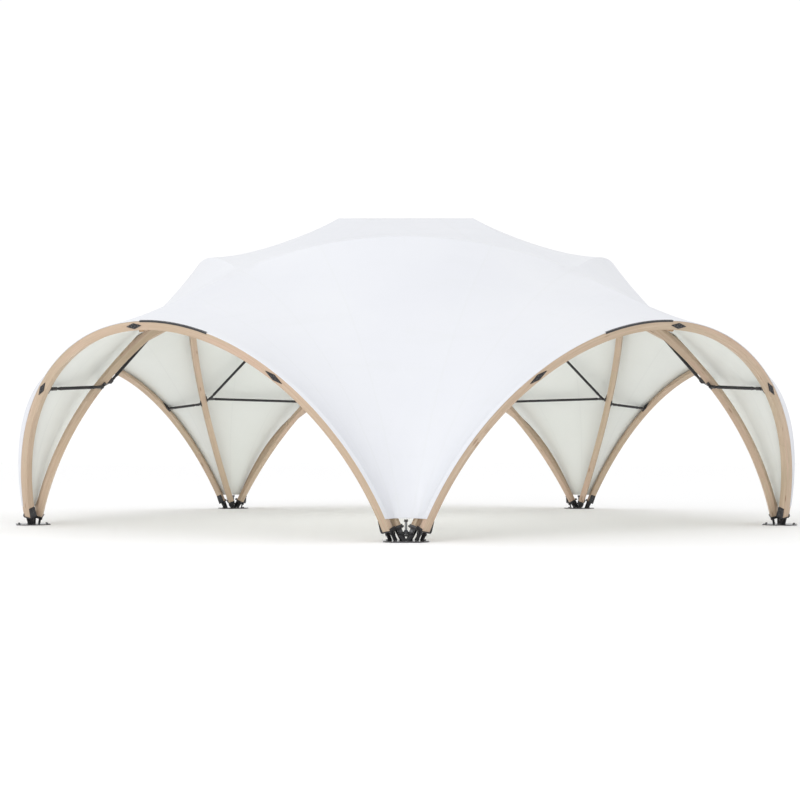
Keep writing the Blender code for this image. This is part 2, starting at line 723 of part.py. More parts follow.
def make_foot():
    """The base plate with four shoes on fins, the cradle and the tension rod, as one welded body."""
    centre = -FOOT_RADIUS
    half_side = PLATE_SIDE / 2
    half_length = PLATE_LENGTH / 2
    cut = PLATE_CORNER
    outline = [(-half_side, cut - half_length), (cut - half_side, -half_length),
               (half_side - cut, -half_length), (half_side, cut - half_length),
               (half_side, half_length - cut), (half_side - cut, half_length),
               (cut - half_side, half_length), (-half_side, half_length - cut)]
    base = prism("foot", [(x, y + centre) for x, y in outline], 0.0, PLATE)
    added = []
    ribs = ((OPENING, OPENING_WIDTH, OPENING_DEPTH), (OVER_RIGHT, CROSS_WIDTH, CROSS_DEPTH))
    for arch, width, depth in ribs:
        angle = arch.end_angle
        run = arch.tangent(angle)
        rise = arch.normal(angle)
        end = arch.point(angle) - run * GAP
        half_width = width / 2 + SHOE_MARGIN
        half_depth = depth / 2 + SHOE_MARGIN
        for flip in (1, -1):
            turn = np.array([flip, 1, 1])
            axes = (arch.across * turn, rise * turn, run * turn)
            added.append(box_between("shoe", end * turn, axes, (-half_width, -half_depth, -SHOE_PLATE),
                                     (half_width, half_depth, 0.0)))
            # two fins run from under the shoe down into the base plate
            for side in (-1, 1):
                head = end * turn + axes[1] * side * half_depth * FIN_PLACE - axes[2] * SHOE_PLATE / 2
                loop = []
                for across, over in ((-1, -1), (1, -1), (1, 1), (-1, 1)):
                    loop.append(head + axes[0] * across * half_width * FIN_SHARE + axes[1] * over * FIN / 2)
                low = [p - axes[2] * (p[2] - PLATE / 2) / axes[2][2] for p in loop]
                added.append(sweep("fin", [loop, low]))
    cradle = []
    arc = [math.pi + math.pi * k / CRADLE_STEPS for k in range(CRADLE_STEPS + 1)]
    for radius in (CRADLE_OUTER, CRADLE_INNER):
        turn = arc if radius == CRADLE_OUTER else arc[::-1]
        cradle += [(radius * math.cos(a), radius * math.sin(a)) for a in turn]
    lift = CRADLE_OUTER + PLATE / 2
    ends = []
    for y in (-CRADLE_HALF_WIDTH, CRADLE_HALF_WIDTH):
        ends.append([np.array([x, centre + y, z + lift]) for x, z in cradle])
    added.append(sweep("cradle", ends))
    rod_line = np.array([0.0, centre, 0.0])
    rod = [(ROD_RADIUS, lift - (CRADLE_OUTER + CRADLE_INNER) / 2), (ROD_RADIUS, ROD_TOP - ROD_HEAD),
           (ROD_HEAD, ROD_TOP - ROD_HEAD), (ROD_HEAD, ROD_TOP)]
    added.append(sweep("rod", [ring_at(rod_line + UP * z, UP, r, BAY) for r, z in rod]))
    return boolean(base, added, "UNION")


def build():
    clear_scene()
    wood = (0.60, 0.42, 0.26)
    fittings = (0.025, 0.026, 0.03)
    cloth = (0.86, 0.87, 0.88)
    opening = OPENING.body("opening_arch", opening_angles(), opening_section())
    cross = make_cross_arch()
    ridge, crown_beam = make_ridges()
    tie_right, tie_left, leg_frame = [smoothed(mesh) for mesh in make_leg_struts()]
    foot = make_foot()
    sail, crown_panel = [smoothed(mesh) for mesh in make_membrane()]
    for leg in range(LEGS):
        turn = leg * STEP
        bay = BAY_NAMES[leg]
        name = LEG_NAMES[leg]
        for title, mesh, colour, rough, metal in (
                ("opening_arch_" + bay, opening, wood, 0.55, 0.0),
                ("ridge_beam_" + bay, ridge, wood, 0.55, 0.0),
                ("crown_beam_" + bay, crown_beam, wood, 0.55, 0.0),
                ("side_tie_a_" + name, tie_left, fittings, 0.45, 0.6),
                ("side_tie_b_" + name, tie_right, fittings, 0.45, 0.6),
                ("leg_frame_" + name, leg_frame, fittings, 0.45, 0.6),
                ("foot_" + name, foot, fittings, 0.5, 0.6),
                ("sail_" + name, sail, cloth, 0.6, 0.0)):
            as_object(title, mesh, new_material(title, colour, rough, metal), turn)
        title = "cross_arch_" + LEG_NAMES[(leg + 1) % LEGS]
        as_object(title, cross, new_material(title, wood, 0.55, 0.0), turn)
    as_object("crown_ring", make_crown_ring(), new_material("crown_ring", wood, 0.55, 0.0))
    as_object("crown_panel", crown_panel, new_material("crown_panel", cloth, 0.6, 0.0))


build()
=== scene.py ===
"""Looks of the canopy tent: laminated timber arches, blackened steel fittings and one taut white membrane.

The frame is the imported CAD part. Shapes follow the same named values as the part's source, in metres.
"""
import math

import bmesh
import bpy
import numpy as np
from mathutils import Matrix, Vector


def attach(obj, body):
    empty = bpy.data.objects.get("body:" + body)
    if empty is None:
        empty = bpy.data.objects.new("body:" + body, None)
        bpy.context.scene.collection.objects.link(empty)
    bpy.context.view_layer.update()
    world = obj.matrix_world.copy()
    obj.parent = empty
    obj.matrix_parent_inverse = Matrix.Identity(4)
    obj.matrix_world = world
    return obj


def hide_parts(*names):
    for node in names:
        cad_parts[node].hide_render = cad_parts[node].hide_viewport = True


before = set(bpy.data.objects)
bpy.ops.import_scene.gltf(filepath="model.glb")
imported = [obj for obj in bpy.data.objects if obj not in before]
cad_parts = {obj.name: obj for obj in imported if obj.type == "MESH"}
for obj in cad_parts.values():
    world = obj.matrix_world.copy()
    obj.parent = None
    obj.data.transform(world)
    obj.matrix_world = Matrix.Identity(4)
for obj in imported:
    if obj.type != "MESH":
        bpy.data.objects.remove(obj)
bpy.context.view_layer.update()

# ---- the part's own values ----
LEGS = 5
FOOT_RADIUS = 5.0
STEP = math.tau / LEGS
HALF_STEP = STEP / 2
PLAN_SHIFT_Y = 0.074
OPENING_START = (0.175, 0.045, 0.12)
OPENING_APEX = (5.0, 2.295)
OPENING_WIDTH = 0.09
OPENING_DEPTH = 0.10
CROSS_START = (0.085, -0.06, 0.13)
CROSS_APEX = (2.86, 3.41)
CROSS_WIDTH = 0.09
CROSS_DEPTH = 0.11
RIDGE_WIDTH = 0.08
RIDGE_DEPTH = 0.14
SHOULDER_DROP = 0.033
TOP_STRIP = 0.006
CROWN_RADIUS = 1.5
CROWN_HEIGHT = 3.985
CROWN_DEPTH = 0.12
CROWN_WIDTH = 0.10
CROWN_RISE = 0.06
CROWN_BEAM_DROP = 0.02
CLEAR = 0.007
HEM_LIFT = 0.005
CROSSING_LIFT = 0.013
MEMBRANE_START = 0.215
HEM_INSET = 0.004
STRUT_RADIUS = 0.02
LINK_HEIGHT = 1.66
LINK_DROP = 0.033
TIE_DROP = 0.036
NODE_HEIGHT = 1.77
FRAME_RAISE = 0.05
FRAME_DROP = 0.08
LUG = 0.05
PLATE_SIDE = 0.46
PLATE_LENGTH = 0.42
PLATE = 0.012
ROD_TOP = 0.225

# ---- values of the looks only ----
ARCH_STEPS = 112
EDGE_ROUND = 0.005
CLOTH = 0.0016
LEG_ROWS = 48
OPENING_COLUMNS = 14
TOP_COLUMNS = 14
SHOULDER_ROWS = 18
CROWN_ROWS = 10
RELAX_STEPS = 5000
SPLICE = (0.122, 0.034, 0.006)
SPLICE_ANGLES = (50.5, 90.0, 129.5)
RAIL_SPAN = math.radians(21)
RAIL_SIDES = (-1, -1, -1, 1, 1)
LAYER = 0.02
BOARD_LENGTH = 1.9
SEAMS = (0.5, 1.0, 1.5)
SAWN_END = 1
BEAM_STEPS = 8
RING_INSET = 0.02
RING_FACE_INSET = 0.03
RING_GRAIN_RUN = 1.7
RING_GRAIN_SEED = 2.3
LEVEL_TRIES = 3000
JOIN_DIGITS = 4
MARK_SEEDS = (7.1, 3.3)
OUTWARD_SHARE = 0.05
TINY = 1e-9
CLOTH_SHARP_DEGREES = 24.0
BEVEL_ANGLE = math.radians(40)
FOOT_BEVEL = 0.0012

LEG_NAMES = ("front", "right", "back_right", "back_left", "left")
BAY_NAMES = ("front_right", "right", "back", "left", "front_left")
UP = np.array([0.0, 0.0, 1.0])
FRONT = -math.pi / 2


def unit(vector):
    return vector / np.linalg.norm(vector)


def turned(vector, angle):
    cosine, sine = math.cos(angle), math.sin(angle)
    return np.array([cosine * vector[0] - sine * vector[1], sine * vector[0] + cosine * vector[1], vector[2]])


def mirror_x(point):
    return point * (-1, 1, 1)


class Arch:
    """A circular arch between two feet, in a plane that leans outward over the given direction."""

    def __init__(self, middle, span_legs, start, apex):
        self.outward = np.array([math.cos(middle), math.sin(middle), 0.0])
        self.along = np.array([-math.sin(middle), math.cos(middle), 0.0])
        half_turn = span_legs * HALF_STEP
        side, out, height = start
        reach = FOOT_RADIUS + out
        foot_out = reach * math.cos(half_turn) + side * math.sin(half_turn)
        self.half = reach * math.sin(half_turn) - side * math.cos(half_turn)
        run = apex[0] - foot_out
        climb = apex[1] - height
        self.lean = math.atan2(run, climb)
        rise = math.hypot(run, climb)
        self.radius = (rise * rise + self.half * self.half) / (2 * rise)
        self.rising = math.sin(self.lean) * self.outward + math.cos(self.lean) * UP
        self.across = math.cos(self.lean) * self.outward - math.sin(self.lean) * UP
        self.centre = apex[0] * self.outward + apex[1] * UP - self.radius * self.rising
        self.end_angle = math.acos(self.half / self.radius)

    def normal(self, angle):
        return -math.cos(angle) * self.along + math.sin(angle) * self.rising

    def point(self, angle, lift=0.0, shift=0.0):
        return self.centre + (self.radius + lift) * self.normal(angle) + shift * self.across

    def tangent(self, angle):
        return math.sin(angle) * self.along + math.cos(angle) * self.rising

    def angle_at_height(self, height):
        return math.asin((height - self.centre[2]) / (self.radius * math.cos(self.lean)))


OPENING = Arch(FRONT + HALF_STEP, 1, OPENING_START, OPENING_APEX)
OVER_RIGHT = Arch(FRONT + STEP, 2, CROSS_START, CROSS_APEX)
OVER_FRONT = Arch(FRONT, 2, CROSS_START, CROSS_APEX)
BAY = OPENING.outward
BAY_SIDE = OPENING.along


def crossing_angle():
    low, high = OVER_RIGHT.end_angle, math.pi / 2
    for _ in range(60):
        middle = (low + high) / 2
        if OVER_RIGHT.point(middle) @ BAY_SIDE < 0:
            low = middle
        else:
            high = middle
    return low


CROSSING = crossing_angle()
CROSS_POINT = OVER_RIGHT.point(CROSSING)
CROSS_NORMAL = OVER_RIGHT.normal(CROSSING)
CROSS_NORMAL = unit(CROSS_NORMAL - (CROSS_NORMAL @ BAY_SIDE) * BAY_SIDE)


# ---- materials ----
class Nodes:
    """Short calls for building one node tree."""

    def __init__(self, name):
        self.material = bpy.data.materials.new(name)
        self.material.use_nodes = True
        self.tree = self.material.node_tree
        self.shader = self.tree.nodes["Principled BSDF"]

    def add(self, kind, settings=(), **inputs):
        node = self.tree.nodes.new(kind)
        for key, value in dict(settings).items():
            setattr(node, key, value)
        for key, value in inputs.items():
            self.put(node, key.replace("_", " "), value)
        return node

    def put(self, node, key, value):
        socket = node.inputs[key]
        if isinstance(value, bpy.types.NodeSocket):
            self.tree.links.new(value, socket)
        else:
            socket.default_value = value

    def math(self, operation, a, b=0.0):
        node = self.tree.nodes.new("ShaderNodeMath")
        node.operation = operation
        self.put(node, 0, a)
        self.put(node, 1, b)
        return node.outputs[0]

    def mix(self, share, a, b):
        node = self.tree.nodes.new("ShaderNodeMix")
        node.data_type = "RGBA"
        self.put(node, 0, share)
        self.put(node, 6, a)
        self.put(node, 7, b)
        return node.outputs[2]

    def ramp(self, value, low, high, to_low=0.0, to_high=1.0):
        node = self.add("ShaderNodeMapRange", {"clamp": True})
        for key, given in zip((0, 1, 2, 3, 4), (value, low, high, to_low, to_high)):
            self.put(node, key, given)
        return node.outputs[0]

    def noise(self, vector, scale, detail=3.0, rough=0.55):
        node = self.add("ShaderNodeTexNoise", Vector=vector, Scale=scale, Detail=detail, Roughness=rough)
        return node.outputs[0]

    def bump(self, height, strength, distance):
        node = self.add("ShaderNodeBump", Height=height, Strength=strength, Distance=distance)
        return node.outputs[0]


def colour(r, g, b):
    return (r, g, b, 1.0)


def timber_material(name):
    """Glued laminated spruce: 20 mm layers with glue lines, long grain, knots and a satin coat."""
    n = Nodes(name)
    grain = n.add("ShaderNodeAttribute", {"attribute_name": "grain"}).outputs["Vector"]
    parts = n.add("ShaderNodeSeparateXYZ", Vector=grain).outputs
    here = n.add("ShaderNodeObjectInfo").outputs["Random"]
    run = n.math("ADD", parts[0], n.math("MULTIPLY", here, 37.0))
    layer_height = n.math("DIVIDE", parts[2], LAYER)
    layer = n.math("FLOOR", n.math("ADD", layer_height, 0.5))
    within = n.math("ABSOLUTE", n.math("SUBTRACT", layer_height, layer))
    layer_seed = n.add("ShaderNodeTexWhiteNoise", {"noise_dimensions": "2D"},
                       Vector=n.add("ShaderNodeCombineXYZ", X=layer, Y=here).outputs[0]).outputs[0]
    board = n.math("DIVIDE", n.math("ADD", run, n.math("MULTIPLY", layer_seed, 3.0)), BOARD_LENGTH)
    board_number = n.math("FLOOR", board)
    board_seed = n.add("ShaderNodeTexWhiteNoise", {"noise_dimensions": "2D"},
                       Vector=n.add("ShaderNodeCombineXYZ", X=layer, Y=board_number).outputs[0]).outputs[0]
    from_joint = n.math("ABSOLUTE", n.math("SUBTRACT", board, n.math("ROUND", board)))
    joint = n.ramp(from_joint, 0.0, 0.0016, 1.0, 0.0)
    figure_depth = n.math("ADD", n.math("MULTIPLY", parts[2], 42.0), n.math("MULTIPLY", board_seed, 20.0))
    spot = n.add("ShaderNodeCombineXYZ", X=n.math("MULTIPLY", run, 1.3), Y=n.math("MULTIPLY", parts[1], 30.0),
                 Z=figure_depth).outputs[0]
    figure = n.noise(spot, 1.0, 5.0, 0.6)
    fibre_spot = n.add("ShaderNodeCombineXYZ", X=n.math("MULTIPLY", run, 9.0),
                       Y=n.math("MULTIPLY", parts[1], 260.0),
                       Z=n.math("MULTIPLY", parts[2], 260.0)).outputs[0]
    fibre = n.noise(fibre_spot, 1.0, 2.0, 0.5)
    rings = n.math("SINE", n.math("MULTIPLY", figure, 46.0))
    knot_spot = n.add("ShaderNodeCombineXYZ", X=n.math("MULTIPLY", run, 2.6),
                      Y=n.math("MULTIPLY", parts[1], 13.0),
                      Z=n.math("ADD", n.math("MULTIPLY", parts[2], 13.0), board_seed)).outputs[0]
    knots = n.add("ShaderNodeTexVoronoi", Vector=knot_spot, Scale=1.0, Randomness=1.0).outputs["Distance"]
    knot = n.ramp(knots, 0.07, 0.16, 1.0, 0.0)
    pale = colour(0.61, 0.480, 0.360)
    deep = colour(0.49, 0.365, 0.255)
    base = n.mix(n.ramp(figure, 0.35, 0.68), pale, deep)
    base = n.mix(n.math("MULTIPLY", n.ramp(rings, 0.2, 1.0), 0.16), base, colour(0.42, 0.28, 0.17))
    base = n.mix(n.ramp(board_seed, 0.3, 1.0, 0.0, 0.45), base, colour(0.58, 0.385, 0.30))
    wide = n.noise(n.add("ShaderNodeCombineXYZ", X=run, Y=board_seed, Z=here).outputs[0], 0.9, 2.0)
    base = n.mix(n.ramp(wide, 0.42, 0.66, 0.0, 0.45), base, colour(0.44, 0.37, 0.25))
    base = n.mix(n.ramp(fibre, 0.35, 0.8, 0.0, 0.26), base, colour(0.38, 0.26, 0.16))
    base = n.mix(n.math("MULTIPLY", knot, 0.62), base, colour(0.22, 0.11, 0.055))
    line = n.math("MAXIMUM", n.ramp(within, 0.455, 0.5, 0.0, 1.0), joint)
    base = n.mix(n.math("MULTIPLY", line, 0.42), base, colour(0.30, 0.18, 0.10))
    n.put(n.shader, "Base Color", base)
    rough = n.ramp(n.math("ADD", fibre, n.math("MULTIPLY", knot, -0.2)), 0.2, 0.8, 0.42, 0.60)
    n.put(n.shader, "Roughness", rough)
    height = n.math("SUBTRACT", n.math("MULTIPLY", fibre, 0.5), n.math("MULTIPLY", line, 0.8))
    n.put(n.shader, "Normal", n.bump(height, 0.35, 0.0012))
    n.put(n.shader, "Coat Weight", 0.12)
    n.put(n.shader, "Coat Roughness", 0.35)
    return n.material


def end_grain_material():
    """The sawn ends of the timber, darker, with fine rings."""
    n = Nodes("timber_end_grain")
    spot = n.add("ShaderNodeTexCoord").outputs["Object"]
    rings = n.add("ShaderNodeTexWave", {"wave_type": "RINGS"}, Vector=spot, Scale=14.0, Distortion=3.0,
                  Detail=3.0).outputs["Fac"]
    speckle = n.noise(spot, 300.0, 3.0)
    base = n.mix(rings, colour(0.52, 0.36, 0.22), colour(0.40, 0.26, 0.15))
    n.put(n.shader, "Base Color", n.mix(n.ramp(speckle, 0.4, 0.7, 0.0, 0.35), base, colour(0.30, 0.18, 0.10)))
    n.put(n.shader, "Roughness", n.ramp(speckle, 0.3, 0.7, 0.65, 0.8))
    n.put(n.shader, "Normal", n.bump(speckle, 0.3, 0.001))
    return n.material


def steel_material(name, base_a, base_b, rough_a, rough_b, metallic, wear=0.10):
    """Powder-coated or plated steel, with an orange-peel skin and paler rubbed edges."""
    n = Nodes(name)
    spot = n.add("ShaderNodeTexCoord").outputs["Object"]
    cloud = n.noise(spot, 7.0, 4.0)
    skin = n.noise(spot, 420.0, 2.0)
    point = n.add("ShaderNodeNewGeometry").outputs["Pointiness"]
    edge = n.ramp(point, 0.52, 0.62, 0.0, wear)
    base = n.mix(n.ramp(cloud, 0.35, 0.7), base_a, base_b)
    n.put(n.shader, "Base Color", n.mix(edge, base, colour(0.32, 0.31, 0.30)))
    grime = n.math("ADD", cloud, n.math("MULTIPLY", skin, 0.3))
    n.put(n.shader, "Roughness", n.ramp(grime, 0.4, 0.95, rough_a, rough_b))
    n.put(n.shader, "Normal", n.bump(skin, 0.25, 0.0006))
    n.put(n.shader, "Metallic", metallic)
    return n.material


def cloth_material(name, pale, shade, streak, inside):
    """Coated polyester cloth with a satin surface: fine weave, welded seams and soft rain marks."""
    n = Nodes(name)
    panel = n.add("ShaderNodeAttribute", {"attribute_name": "panel"}).outputs["Vector"]
    across, along, width = n.add("ShaderNodeSeparateXYZ", Vector=panel).outputs
    spot = n.add("ShaderNodeTexCoord").outputs["Object"]
    cloud = n.noise(spot, 0.55, 3.0)
    fine = n.noise(spot, 9.0, 4.0)
    marks_spot = n.add("ShaderNodeCombineXYZ", X=n.math("MULTIPLY", width, 5.5),
                       Y=n.math("MULTIPLY", along, 0.45), Z=across).outputs[0]
    marks = n.noise(marks_spot, 1.0, 4.0, 0.6)
    base = n.mix(n.ramp(cloud, 0.35, 0.65), pale, shade)
    base = n.mix(n.ramp(marks, 0.55, 0.8, 0.0, streak), base, colour(0.62, 0.64, 0.62))
    base = n.mix(n.ramp(fine, 0.5, 0.8, 0.0, 0.05), base, colour(0.70, 0.71, 0.71))
    seam = 0.0
    for share in SEAMS:
        off = n.math("ABSOLUTE", n.math("SUBTRACT", across, share))
        metres = n.math("MULTIPLY", off, n.math("MAXIMUM", width, 0.05))
        band = n.ramp(metres, 0.018, 0.022, 1.0, 0.0)
        seam = n.math("MAXIMUM", band, seam)
    hem = n.ramp(across, 0.0, 0.004, 1.0, 0.0)
    base = n.mix(n.math("MULTIPLY", seam, 0.16 if inside else 0.12), base, colour(0.66, 0.68, 0.67))
    n.put(n.shader, "Base Color", base)
    weave_spot = n.add("ShaderNodeVectorMath", {"operation": "SCALE"}, Vector=spot).outputs[0]
    n.put(weave_spot.node, "Scale", 420.0)
    checks = n.add("ShaderNodeTexVoronoi", Vector=weave_spot, Scale=1.0, Randomness=0.25).outputs["Distance"]
    wear = n.math("ADD", fine, n.math("MULTIPLY", marks, 0.4))
    n.put(n.shader, "Roughness", n.ramp(wear, 0.4, 1.0, 0.42, 0.58))
    height = n.math("ADD", n.math("MULTIPLY", checks, 0.12), n.math("MAXIMUM", seam, hem))
    n.put(n.shader, "Normal", n.bump(height, 0.30, 0.0012))
    n.put(n.shader, "Sheen Weight", 0.05)
    n.put(n.shader, "Sheen Roughness", 0.5)
    return n.material


TIMBER = timber_material("laminated_timber")
END_GRAIN = end_grain_material()
BLACK = steel_material("blackened_steel", colour(0.020, 0.020, 0.024), colour(0.034, 0.033, 0.037),
                       0.34, 0.52, 0.35)
BOLT = steel_material("bolt_steel", colour(0.05, 0.05, 0.055), colour(0.09, 0.088, 0.09),
                      0.28, 0.42, 0.8, 0.25)
ZINC = steel_material("zinc_rod", colour(0.34, 0.35, 0.36), colour(0.44, 0.45, 0.46), 0.32, 0.5, 0.85, 0.2)
PLATE_STEEL = steel_material("plate_steel", colour(0.07, 0.07, 0.075), colour(0.11, 0.11, 0.115),
                             0.16, 0.26, 0.6, 0.2)
CLOTH_OUT = cloth_material("membrane_outside", colour(0.730, 0.742, 0.775), colour(0.705, 0.718, 0.757),
                           0.14, False)
CLOTH_IN = cloth_material("membrane_inside", colour(0.78, 0.80, 0.775), colour(0.75, 0.775, 0.745),
                          0.06, True)


# ---- mesh building ----
def built_mesh(name, points, faces, slots, materials, attribute, vectors, sharp):
    """A mesh with its materials, a named vector at each point, outward faces and marked sharp edges."""
    mesh = bpy.data.meshes.new(name)
    mesh.from_pydata(points, [], faces)
    for material in materials:
        mesh.materials.append(material)
    mesh.polygons.foreach_set("material_index", slots)
    stored = mesh.attributes.new(attribute, "FLOAT_VECTOR", "POINT")
    stored.data.foreach_set("vector", np.array(vectors, np.float32).ravel())
    work = bmesh.new()
    work.from_mesh(mesh)
    bmesh.ops.recalc_face_normals(work, faces=work.faces[:])
    work.to_mesh(mesh)
    work.free()
    mesh.shade_smooth()
    mesh.set_sharp_from_angle(angle=math.radians(sharp))
    return mesh


class Body:
    """Points and faces of one piece, with a material number and grain direction for each part."""

    def __init__(self):
        self.points = []
        self.faces = []
        self.slots = []
        self.grain = []

    def loft(self, loops, slot=0, grain=None, cap_slot=None):
        first = len(self.points)
        sides = len(loops[0])
        for i, loop in enumerate(loops):
            for j, p in enumerate(loop):
                self.points.append(tuple(p))
                self.grain.append(tuple(grain[i][j]) if grain is not None else (p[0], p[1], p[2]))
        for row in range(len(loops) - 1):
            for side in range(sides):
                here = first + row * sides + side
                beside = first + row * sides + (side + 1) % sides
                self.faces.append((here, beside, beside + sides, here + sides))
                self.slots.append(slot)
        last = first + (len(loops) - 1) * sides
        self.faces.append(tuple(range(first + sides - 1, first - 1, -1)))
        self.faces.append(tuple(range(last, last + sides)))
        self.slots += [slot if cap_slot is None else cap_slot] * 2

    def box(self, origin, axes, low, high, slot=0):
        loops = []
        for z in (low[2], high[2]):
            corners = ((low[0], low[1]), (high[0], low[1]), (high[0], high[1]), (low[0], high[1]))
            loops.append([origin + axes[0] * x + axes[1] * y + axes[2] * z for x, y in corners])
        self.loft(loops, slot)

    def lathe(self, start, way, profile, sides=20, slot=0):
        """Rings of (distance along, radius) about a line."""
        side = unit(np.cross(way, UP if abs(way[2]) < 0.9 else np.array([1.0, 0.0, 0.0])))
        other = np.cross(way, side)
        loops = []
        for along, radius in profile:
            ring = []
            for k in range(sides):
                a = math.tau * k / sides
                ring.append(start + way * along + radius * (math.cos(a) * side + math.sin(a) * other))
            loops.append(ring)
        self.loft(loops, slot)

    def rod(self, middle, way, half, radius, sides=20, slot=0):
        """A round bar of the given half length, centred on a point."""
        self.lathe(middle - way * half, way, [(0, radius), (half * 2, radius)], sides, slot)

    def hexagon(self, start, way, radius, height, slot):
        chamfer = height * 0.16
        self.lathe(start, way, [(0, radius), (height - chamfer, radius), (height, radius * 0.86)], 6, slot)

    def bolt(self, start, way, size, slot):
        """A washer with a hexagon head on it."""
        washer = [(0, size * 1.25), (size * 0.22, size * 1.25), (size * 0.26, size * 1.18)]
        self.lathe(start, way, washer, 20, slot)
        self.hexagon(start + way * size * 0.24, way, size, size * 0.8, slot)

    def mesh(self, name, materials, sharp=32.0):
        return built_mesh(name, self.points, self.faces, self.slots, materials, "grain", self.grain, sharp)


def place(name, mesh, nodes=(), turn=0.0, bevel=0.0):
    """A piece of the canopy, turned to its leg or bay, on the frame."""
    mesh = mesh.copy()
    mesh.transform(Matrix.Translation((0, PLAN_SHIFT_Y, 0)) @ Matrix.Rotation(turn, 4, "Z"))
    piece = bpy.data.objects.new(name, mesh)
    bpy.context.scene.collection.objects.link(piece)
    if bevel:
        edge = piece.modifiers.new("edges", "BEVEL")
        edge.width = bevel
        edge.segments = 2
        edge.limit_method = "ANGLE"
        edge.angle_limit = BEVEL_ANGLE
        edge.harden_normals = True
    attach(piece, "root")
    if nodes:
        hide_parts(*nodes)
    return piece


def rounded(outline, radius, steps=3):
    """A polygon with each corner replaced by a short arc."""
    made = []
    count = len(outline)
    for k in range(count):
        before, here, after = (np.array(outline[j % count]) for j in (k - 1, k, k + 1))
        into, out = unit(before - here), unit(after - here)
        reach = min(radius, 0.4 * np.linalg.norm(before - here), 0.4 * np.linalg.norm(after - here))
        for i in range(steps):
            t = i / (steps - 1)
            a, b = here + into * reach, here + out * reach
            made.append(tuple((1 - t) ** 2 * a + 2 * t * (1 - t) * here + t * t * b))
    return made


def cross_section(width, depth):
    half, top, strip = width / 2, depth / 2, TOP_STRIP / 2
    return [(-half, -top), (half, -top), (half, top - SHOULDER_DROP), (strip, top), (-strip, top),
            (-half, top - SHOULDER_DROP)]


def opening_section():
    half, top = OPENING_WIDTH / 2, OPENING_DEPTH / 2
    return [(-half, -top), (half, -top), (half, top), (-TOP_STRIP, top), (-half, top - SHOULDER_DROP)]


def arch_mesh(name, arch, section):
    outline = rounded(section, EDGE_ROUND)
    body = Body()
    loops, grain = [], []
    for angle in np.linspace(arch.end_angle, math.pi - arch.end_angle, ARCH_STEPS + 1):
        loops.append([arch.point(angle, lift, shift) for shift, lift in outline])
        grain.append([(angle * arch.radius, shift, lift + LAYER / 2) for shift, lift in outline])
    body.loft(loops, 0, grain, SAWN_END)
    return body.mesh(name, [TIMBER, END_GRAIN])


def crest_points():
    apex = OPENING.point(math.pi / 2, OPENING_DEPTH / 2 + HEM_LIFT, -TOP_STRIP)
    crossing = CROSS_POINT + CROSS_NORMAL * (CROSS_DEPTH / 2 + CROSSING_LIFT)
    corner = BAY * CROWN_RADIUS + UP * (CROWN_HEIGHT + CLEAR)
    return apex, crossing, corner


def beam_mesh(name, start, end, start_cut, end_cut):
    run = unit(end - start)
    side = unit(np.cross(UP, run))
    rise = np.cross(run, side)
    outline = rounded(cross_section(RIDGE_WIDTH, RIDGE_DEPTH), EDGE_ROUND)
    body = Body()
    loops, grain = [], []
    ends = []
    for spot, normal in (start_cut, end_cut):
        loop = []
        for sideways, up in outline:
            base = start + side * sideways + rise * (up - RIDGE_DEPTH / 2 - CLEAR)
            loop.append(base + run * (((spot - base) @ normal) / (run @ normal)))
        ends.append(np.array(loop))
    for t in np.linspace(0, 1, BEAM_STEPS + 1):
        loop = ends[0] * (1 - t) + ends[1] * t
        loops.append(list(loop))
        grain.append([((p - start) @ run, s, u + LAYER / 2) for p, (s, u) in zip(loop, outline)])
    body.loft(loops, 0, grain, SAWN_END)
    return body.mesh(name, [TIMBER, END_GRAIN])


def ring_mesh():
    """The five-sided crown ring, with mitred corners and a small chamfer."""
    body = Body()
    inner = CROWN_RADIUS - CROWN_WIDTH / math.cos(HALF_STEP)
    outer = CROWN_RADIUS - RING_INSET
    low = CROWN_HEIGHT - CROWN_DEPTH
    section = rounded([(inner, low), (outer, low), (outer, CROWN_HEIGHT), (inner, CROWN_HEIGHT)], EDGE_ROUND)
    for leg in range(LEGS):
        a, b = turned(BAY, leg * STEP), turned(BAY, (leg + 1) * STEP)
        loops, grain = [], []
        for t in (0.0, 0.5, 1.0):
            way = a * (1 - t) + b * t
            loops.append([way * radius + UP * height for radius, height in section])
            grain.append([(t * RING_GRAIN_RUN + leg * RING_GRAIN_SEED, radius - inner,
                           height - CROWN_HEIGHT + LAYER / 2) for radius, height in section])
        body.loft(loops, 0, grain, SAWN_END)
    return body.mesh("crown_timber", [TIMBER, END_GRAIN])


# ---- the membrane: one sheet, drawn tight from its held edges ----
def relax(grid):
    """Draws each free point to the mean of its four neighbours, with no pressure, so the film is a saddle.

    The first and last rows and the first column are held. Past the last column, which lies in the plane of
    symmetry, the mirror image of the column before it is the neighbour.
    """
    for _ in range(RELAX_STEPS):
        right = np.concatenate([grid[:, 1:], grid[:, -2:-1] * (-1, 1, 1)], axis=1)
        grid[1:-1, 1:] = (grid[:-2, 1:] + grid[2:, 1:] + right[1:-1, 1:] + grid[1:-1, :-1]) / 4


